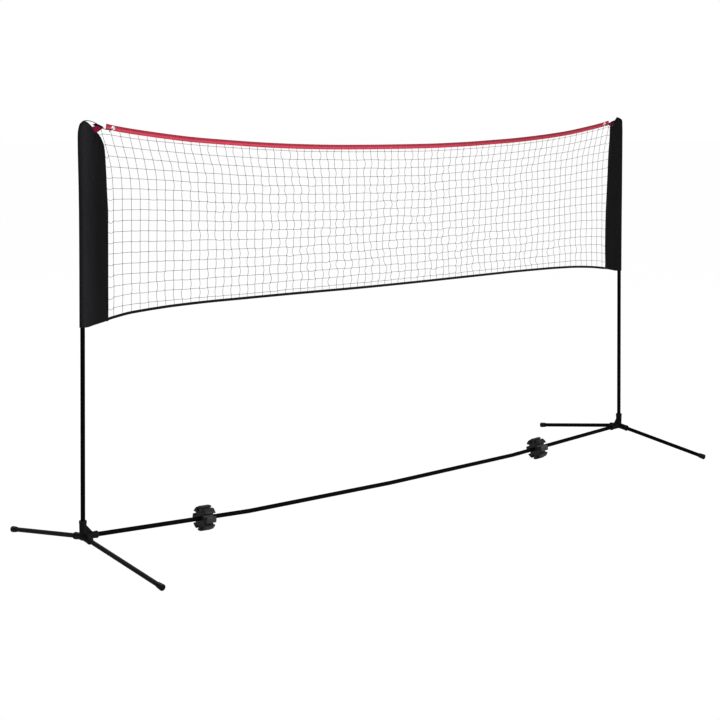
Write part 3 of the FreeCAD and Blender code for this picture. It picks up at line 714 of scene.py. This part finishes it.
def drape(s):
    """The doubled cloth beside the post as a hanging sheet: held by the post, the net and the tied corner,
    a little larger than the gap it fills, so it settles into folds. Gives the sideways move of each grid point."""
    zs = np.linspace(Z0, Z1, NZ + 1)
    inn = lerp_table(INN[s], zs)
    us = U0 + (inn[:, None] - U0) * np.linspace(0, 1, NU + 1)[None, :]
    y = np.array([[seed_folds(float(us[j, i]), float(zs[j]), s) for i in range(NU + 1)] for j in range(NZ + 1)])
    i = np.arange(NU + 1)
    hold = np.minimum(i, NU - i)[None, :] / 3.0
    y = y * np.clip(hold, 0, 1)
    verts = np.stack([s * (HS - us), y, np.broadcast_to(zs[:, None], us.shape)], 2).reshape(-1, 3)
    n = NU + 1
    faces = [(a * n + b, a * n + b + 1, (a + 1) * n + b + 1, (a + 1) * n + b) for a in range(NZ) for b in range(NU)]
    ob = add_mesh("drape_sheet", verts, faces, None)
    ob.shape_key_add(name="Basis")
    rest = ob.shape_key_add(name="cut")
    tx, tz = TIE[s]
    for a in range(NZ + 1):
        for b in range(NU + 1):
            u, z = us[a, b], zs[a]
            full = 1.022 + 0.010 * math.sin(z * 9.0 + s)
            rest.data[a * n + b].co = (s * (HS - (U0 + (u - U0) * full)), 0.0, Z1 + (z - Z1) * 1.006)
    rest.value = 0.0
    pin = ob.vertex_groups.new(name="held")
    for a in range(NZ + 1):
        for b in range(NU + 1):
            d = math.hypot(us[a, b] - tx, zs[a] - tz)
            if b == 0 or b == NU or a == NZ or d < 0.007:
                pin.add([a * n + b], 1.0, "REPLACE")
    mod = ob.modifiers.new("hang", "CLOTH")
    c = mod.settings
    c.quality, c.mass, c.air_damping = 8, 0.02, 2.0
    c.tension_stiffness = c.compression_stiffness = 12.0
    c.shear_stiffness, c.bending_stiffness = 4.0, 0.02
    c.tension_damping = c.compression_damping = c.shear_damping = 6.0
    c.bending_damping = 0.4
    c.vertex_group_mass, c.pin_stiffness = "held", 1.0
    c.rest_shape_key = rest
    mod.collision_settings.use_collision = False
    mod.point_cache.frame_start, mod.point_cache.frame_end = 1, 30
    for f in range(1, 31):
        scene.frame_set(f)
    ev = ob.evaluated_get(bpy.context.evaluated_depsgraph_get())
    co = np.empty(len(verts) * 3)
    ev.data.vertices.foreach_get("co", co)
    me = ob.data
    bpy.data.objects.remove(ob)
    bpy.data.meshes.remove(me)
    scene.frame_set(1)
    out = co.reshape(NZ + 1, NU + 1, 3)[..., 1]
    return 0.0045 * np.tanh(np.nan_to_num(out) / 0.0045)


FOLDS = {s: drape(s) for s in (-1, 1)}


def fold(u, z, s):
    inn = float(lerp_table(INN[s], z))
    a = min(max((z - Z0) / (Z1 - Z0) * NZ, 0.0), NZ - 1e-6)
    b = min(max((u - U0) / max(inn - U0, 1e-4) * NU, 0.0), NU - 1e-6)
    a0, b0 = int(a), int(b)
    fa, fb = a - a0, b - b0
    g = FOLDS[s]
    v = (g[a0, b0] * (1 - fa) + g[a0 + 1, b0] * fa) * (1 - fb) + (g[a0, b0 + 1] * (1 - fa) + g[a0 + 1, b0 + 1] * fa) * fb
    # a cross seam where two lengths of cloth are joined
    return float(v) + 0.0008 * math.exp(-((z - 1.317 - 0.05 * (u - 0.05)) / 0.0035) ** 2) * (1.0 if s > 0 else 0.25)


def sleeve_half(u, z, s):
    """Half thickness of the sleeve at distance u from the post axis."""
    out = float(lerp_table(OUT[s], z))
    inn = float(lerp_table(INN[s], z))
    r = 0.0104 + 0.0014 * (min(z, 1.49) - 0.82) / 0.7
    if z > 1.49:
        r += (0.0100 - r) * min(1.0, (z - 1.49) / 0.048)
    if z > 1.5385:
        q = (z - 1.5385) / 0.0090
        r = r * math.sqrt(1 - q * q) if q < 1 else 0.0
    flat = 0.0012
    if u < 0:
        a = max(out, 1e-4)
        return max(r * math.sqrt(max(0.0, 1 - (u / a) ** 2)), flat * 0.7 if z > 1.5385 else 0.0)
    if r <= flat:
        return flat
    tip = min(0.048, inn * 0.8)
    k = r * 0.55
    if u <= k:
        return max(math.sqrt(r * r - u * u), flat)
    h0 = math.sqrt(r * r - k * k)
    if u >= tip:
        return flat
    t = (u - k) / (tip - k)
    return flat + max(h0 - flat, 0.0) * (1 - t) ** 1.25 * (1 - 0.12 * t)


def sleeve(s, side):
    nz, nu = 150, 44
    zs = []
    for k in range(nz + 1):
        t = k / nz
        zs.append(0.8225 + (1.5529 - 0.8225) * t)
    zs = np.array(sorted(set(np.concatenate([zs, 1.5529 - 0.03 * (1 - np.linspace(0, 1, 14)) ** 2]))))
    rows = []
    for z0 in zs:
        out, inn = float(lerp_table(OUT[s], z0)), float(lerp_table(INN[s], z0))
        # outer rim to inner rim on the front, then back again behind
        c = (1 - np.cos(np.linspace(0, math.pi, nu))) / 2
        c = 0.35 * c + 0.65 * np.linspace(0, 1, nu) ** 1.0
        us = -out + (out + inn) * c
        ring = []
        for layer, seq in ((-1, us), (1, us[::-1][1:-1])):
            for u in seq:
                h = sleeve_half(float(u), float(z0), s)
                rim = min(1.0, (inn - u) / 0.006, (u + out) / 0.004) if z0 < 1.54 else 0.0
                rim = max(rim, 0.0)
                e = 0.0 if u < 0.011 else min(1.0, (u - 0.011) / 0.02)
                y = layer * h * (rim ** 0.5 if u > 0.02 else 1.0)
                y += fold(float(u), float(z0), s) * e
                y += layer * 0.0009 * e * rim * (1 + math.sin(z0 * 23 + u * 40 + s))
                # bottom edge slopes up towards the net
                dz = 0.0
                if z0 < 0.90:
                    lift = 0.016 * max(0.0, min(1.0, (u - 0.02) / 0.087))
                    dz = lift * (0.90 - z0) / 0.0775
                ring.append((s * (HS - u), y, z0 + dz))
        rows.append(ring)
    n = len(rows[0])
    verts = [p for r in rows for p in r]
    faces = []
    for a in range(len(rows) - 1):
        for k in range(n):
            k2 = (k + 1) % n
            q = (a * n + k, a * n + k2, (a + 1) * n + k2, (a + 1) * n + k)
            faces.append(q if s < 0 else q[::-1])
    # closed over the top of the post
    top = (len(rows) - 1) * n
    for k in range(nu - 1):
        b0, b1 = (n - k) % n, n - k - 1
        if k == 0:
            q = (top, top + 1, top + n - 1)
        elif k == nu - 2:
            q = (top + k, top + k + 1, top + n - k)
        else:
            q = (top + k, top + k + 1, top + n - k - 1, top + n - k)
        faces.append(q if s < 0 else q[::-1])
    ob = add_mesh("sleeve_cloth_" + side, verts, faces, sleeve_mat)
    sol = ob.modifiers.new("cloth", "SOLIDIFY")
    sol.thickness, sol.offset = 0.0005, 0.6
    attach(ob, "net")
    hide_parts("sleeve_" + side)
    return ob


def on_sleeve(s, u, z, layer, lift):
    """A point on the sleeve's front (-1) or back (1) surface, lifted off it."""
    h = sleeve_half(float(u), float(z), s)
    e = 0.0 if u < 0.011 else min(1.0, (u - 0.011) / 0.02)
    y = layer * h + fold(float(u), float(z), s) * e
    return np.array([s * (HS - u), y + layer * lift, z])


def binding(s, side):
    """Narrow binding tape folded over the sleeve's net-side edge, with its stitches, and the stitching of the hem along
    the sleeve's foot.
    """
    zs = np.linspace(0.836, 1.497 if s < 0 else 1.5, 130)
    g_v, g_f = [], []
    prof = [(-0.0085, 0.0021), (-0.0080, 0.0027), (-0.0015, 0.0026), (0.0004, 0.0014), (0.0004, -0.0014), (-0.0015, -0.0026),
            (-0.0080, -0.0027), (-0.0085, -0.0021), (-0.0070, -0.0013), (-0.0070, 0.0013)]
    n = len(prof)
    for i, z in enumerate(zs):
        inn = float(lerp_table(INN[s], z))
        f = fold(inn - 0.004, float(z), s)
        w = 0.00015 * math.sin(i * 1.9)
        for du, y in prof:
            g_v.append((s * (HS - (inn + du)), y * 0.85 + f + w, z))
    for i in range(len(zs) - 1):
        for k in range(n):
            k2 = (k + 1) % n
            q = (i * n + k, i * n + k2, (i + 1) * n + k2, (i + 1) * n + k)
            g_f.append(q if s > 0 else q[::-1])
    a = tuple(range(n))
    b = tuple((len(zs) - 1) * n + k for k in range(n))
    g_f += [a[::-1] if s > 0 else a, b if s > 0 else b[::-1]]
    ob = add_mesh("sleeve_binding_" + side, g_v, g_f, hem_mat)
    g = Gather()
    for k in range(int((zs[-1] - zs[0]) / 0.0058)):
        z = zs[0] + 0.001 + k * 0.0058
        inn = float(lerp_table(INN[s], z))
        f = fold(inn - 0.004, float(z), s)
        for y in (-0.00235, 0.00235):
            uu = np.array([0, 0.25, 0.75, 1.0]) * 0.004
            path = np.array([(s * (HS - (inn - 0.0062)), y + f + math.copysign(0.0003, y) * o, z + t)
                             for t, o in zip(uu, (0, 1, 1, 0))])
            v, ff = pipe(path, 0.00032, 5)
            g.add(v, ff)
    # two rows of stitches along the sleeve's hem
    for row in (0.0085, 0.0105):
        for layer in (-1, 1):
            for k in range(14):
                u0 = 0.018 + k * 0.0062
                path = []
                for t, o in ((0, 0.0), (0.001, 1), (0.003, 1), (0.004, 0.0)):
                    u = u0 + t
                    z = 0.8225 + row + 0.016 * max(0.0, min(1.0, (u - 0.02) / 0.087))
                    path.append(on_sleeve(s, u, z, layer, 0.0010 + 0.0003 * o))
                v, ff = pipe(np.array(path), 0.00032, 5)
                g.add(v, ff)
    st = g.make("sleeve_stitches_" + side, thread_dark)
    for o, sl in ((ob, "edging_black"), (st, "edging_black")):
        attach(o, "net")
    return ob, st


def patch(name, outline, s, mat, thick, lift, layers=(-1, 1), y_at=None):
    """Stitched cloth patch: a rounded plate over the given (u, z) outline."""
    o = np.array(outline, float)
    c = o.mean(0)
    dense = []
    for i in range(len(o)):
        a, b = o[i], o[(i + 1) % len(o)]
        for t in np.linspace(0, 1, 7, endpoint=False):
            dense.append(a + (b - a) * t)
    dense = np.array(dense)
    for _ in range(2):
        dense = (np.roll(dense, 1, 0) + dense * 4 + np.roll(dense, -1, 0)) / 6
    g = Gather()
    for layer in layers:
        verts, faces = [], []
        m = len(dense)
        rings = [(1.0, 0.0), (0.985, 0.7), (0.95, 1.0), (0.75, 1.0), (0.5, 1.05), (0.25, 1.1)]
        for scale, up in rings:
            for q in dense:
                u, z = c + (q - c) * scale
                base = y_at(u, z, layer) if y_at else on_sleeve(s, u, z, layer, lift)[1]
                verts.append((s * (HS - u), base + layer * thick * up, z))
        u, z = c
        base = y_at(u, z, layer) if y_at else on_sleeve(s, u, z, layer, lift)[1]
        verts.append((s * (HS - u), base + layer * thick * 1.1, z))
        for r in range(len(rings) - 1):
            for k in range(m):
                k2 = (k + 1) % m
                faces.append((r * m + k, r * m + k2, (r + 1) * m + k2, (r + 1) * m + k))
        e = (len(rings) - 1) * m
        for k in range(m):
            faces.append((e + k, e + (k + 1) % m, len(verts) - 1))
        # back of the plate
        nb = len(verts)
        for q in dense:
            u, z = q
            base = y_at(u, z, layer) if y_at else on_sleeve(s, u, z, layer, lift)[1]
            verts.append((s * (HS - u), base - layer * thick * 0.3, z))
        for k in range(m):
            k2 = (k + 1) % m
            faces.append((k2, k, nb + k, nb + k2))
        faces.append(tuple(nb + k for k in range(m)))
        if (layer * s) > 0:
            faces = [f[::-1] for f in faces]
        g.add(verts, faces)
    ob = g.make(name, mat)
    return ob


def corner(s, side):
    """Red corner tab, the dark gusset above it, and the cord that ties the tape to the sleeve."""
    if s < 0:
        red = [(0.038, 1.5280), (0.043, 1.5195), (0.0555, 1.5100), (0.0665, 1.5155), (0.0905, 1.5292), (0.0630, 1.5350), (0.048, 1.5337)]
        dark = [(0.042, 1.5395), (0.054, 1.5340), (0.070, 1.5325), (0.0905, 1.5300), (0.073, 1.5382), (0.0560, 1.5445)]
    else:
        red = [(0.043, 1.5285), (0.047, 1.5180), (0.056, 1.5100), (0.067, 1.5125), (0.0790, 1.5210), (0.0785, 1.5285), (0.060, 1.5310)]
        dark = [(0.030, 1.5385), (0.040, 1.5330), (0.056, 1.5305), (0.072, 1.5290), (0.060, 1.5335), (0.045, 1.5385)]
    flat = lambda u, z, layer: layer * 0.0016 if u > 0.045 else on_sleeve(s, u, z, layer, 0.0009)[1]
    tab = patch("corner_tab_cloth_" + side, red, s, tab_mat, 0.0009, 0.0012, y_at=flat)
    gus = patch("corner_gusset_" + side, dark, s, hem_mat, 0.0006, 0.0006,
                y_at=lambda u, z, layer: layer * 0.0004 if u > 0.045 else layer * 0.0009)
    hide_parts("corner_tab_" + side)
    lo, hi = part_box("grommet_" + side)
    ex, ez = (lo.x + hi.x) / 2, (lo.z + hi.z) / 2
    x = lambda u: s * (HS - u)
    q = lambda d, y, dz: (ex + s * d, y, ez + dz)
    if s < 0:
        top = [(x(0.006), 0.001, 1.5526), (x(0.012), 0, 1.5540), (x(0.022), -0.0006, 1.5540), (x(0.036), -0.002, 1.5512),
               (x(0.052), -0.0034, 1.5455), (x(0.064), -0.0040, 1.5385), (x(0.086), -0.0042, ez - 0.0020)]
    else:
        top = [(x(0.012), 0.001, 1.5522), (x(0.015), 0, 1.5540), (x(0.020), -0.0008, 1.5545), (x(0.0275), -0.002, 1.5470),
               (x(0.040), -0.0034, 1.5392), (x(0.060), -0.0040, 1.5320), (x(0.086), -0.0042, ez - 0.0020)]
    kx = ex - (0.0060 if s < 0 else 0.0034)
    path = top + [q(0.016, -0.0040, -0.0062), q(0.008, -0.0040, -0.0068), q(0.0044, -0.0050, -0.0050), q(0.0025, -0.0040, -0.0029),
                  q(0.0020, 0, -0.0020), q(0.0022 if s < 0 else 0.0012, 0.0038, -0.0016), (kx, 0.0054, ez - 0.0030)]
    p = smooth_curve(path, 170)
    g = Gather()
    v, f = pipe(p, 0.00115, 12, twist=2 * math.pi / 0.006, lobes=3, lobe=0.10)
    g.add(v, f)
    # stopper knot behind the eyelet
    for k, (rr, tilt) in enumerate(((0.0043, 0.3), (0.0037, -0.5), (0.0022, 0.2))):
        a = np.linspace(0, 2 * math.pi * 0.97, 30)
        loop = np.stack([kx + rr * np.cos(a), 0.0052 + tilt * rr * np.sin(a + k) + 0.0010 * k, ez - 0.0030 + rr * np.sin(a)], 1)
        v, f = pipe(loop, 0.00120, 10, twist=2 * math.pi / 0.006, lobes=3, lobe=0.10)
        g.add(v, f)
    tail = smooth_curve([(kx, 0.0066, ez - 0.003), (kx - 0.0006, 0.0088, ez - 0.006), (kx - 0.0020, 0.0092, ez - 0.0140)], 20)
    v, f = pipe(tail, 0.00115, 10, twist=2 * math.pi / 0.006, lobes=3, lobe=0.10)
    g.add(v, f)
    cord = g.make("tension_cord_braid_" + side, cord_mat)
    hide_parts("tension_cord_" + side)
    for ob in (tab, gus, cord):
        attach(ob, "net")


for s, side in ((-1, "left"), (1, "right")):
    sleeve(s, side)
    binding(s, side)
    corner(s, side)

# =============================================================================
# floor, light, camera
# =============================================================================
AMBIENT = 0.22
fm = Mat("floor_white")
seen = fm.node("ShaderNodeLightPath").outputs["Is Camera Ray"]
pale = fm.mix(fm.noise(0.8, 2.0), (0.86, 0.86, 0.86), (0.90, 0.90, 0.90))
# white sweep, evenly lit up to the paper's own white, so that no horizon shows
fm.set(Base_Color=fm.mix(seen, pale, (0.03, 0.03, 0.03)), Roughness=0.85, Specular_IOR_Level=0.0,
       Emission_Color=(1, 1, 1, 1), Emission_Strength=fm.math("MULTIPLY", seen, 0.985))
floor = add_mesh("floor", [(-60, -60, -0.0004), (60, -60, -0.0004), (60, 60, -0.0004), (-60, 60, -0.0004)], [(0, 1, 2, 3)], fm.m, False)

world = bpy.data.worlds.new("studio")
scene.world = world
world.use_nodes = True
wn = world.node_tree
bg = wn.nodes["Background"]
lp = wn.nodes.new("ShaderNodeLightPath")
mx = wn.nodes.new("ShaderNodeMix")
mx.data_type = "FLOAT"
wn.links.new(lp.outputs["Is Camera Ray"], mx.inputs[0])
mx.inputs[2].default_value = AMBIENT
mx.inputs[3].default_value = 1.0
wn.links.new(mx.outputs[0], bg.inputs["Strength"])
bg.inputs["Color"].default_value = (1, 1, 1, 1)


def area(name, loc, target, size, power):
    d = bpy.data.lights.new(name, "AREA")
    d.shape, d.size, d.energy = "SQUARE", size, power
    o = bpy.data.objects.new(name, d)
    scene.collection.objects.link(o)
    o.location = loc
    o.rotation_euler = (Vector(target) - Vector(loc)).to_track_quat("-Z", "Y").to_euler()
    return o


area("key", (-1.2, -7.2, 4.2), (0, 0, 0.7), 4.0, 350)
area("fill", (5.0, -6.0, 3.0), (0, 0, 0.4), 4.0, 170)
area("back", (0.5, 6.0, 5.0), (0, 0, 0.8), 5.0, 150)

cam_data = bpy.data.cameras.new("camera")
cam = bpy.data.objects.new("camera", cam_data)
scene.collection.objects.link(cam)
scene.camera = cam
cam.location = (-4.5411, -4.79668, 1.59831)
cam.rotation_euler = (math.radians(89.4282), 0, math.radians(-41.1184))
cam_data.sensor_width = 36.0
cam_data.lens = 79.4736
cam_data.clip_end = 200
# the lens shift belongs to this viewpoint only
for prop, val in (("shift_x", 0.046210), ("shift_y", -0.327815)):
    dr = cam_data.driver_add(prop).driver
    dr.type = "SCRIPTED"
    var = dr.variables.new()
    var.name = "x"
    var.type = "TRANSFORMS"
    var.targets[0].id = cam
    var.targets[0].transform_type = "LOC_X"
    var.targets[0].transform_space = "WORLD_SPACE"
    dr.expression = "%g * (abs(x + 4.5411) < 0.0005)" % val

scene.view_settings.view_transform = "Standard"
scene.view_settings.look = "None"
scene.view_settings.gamma = 0.8      # the contrast of a catalogue picture
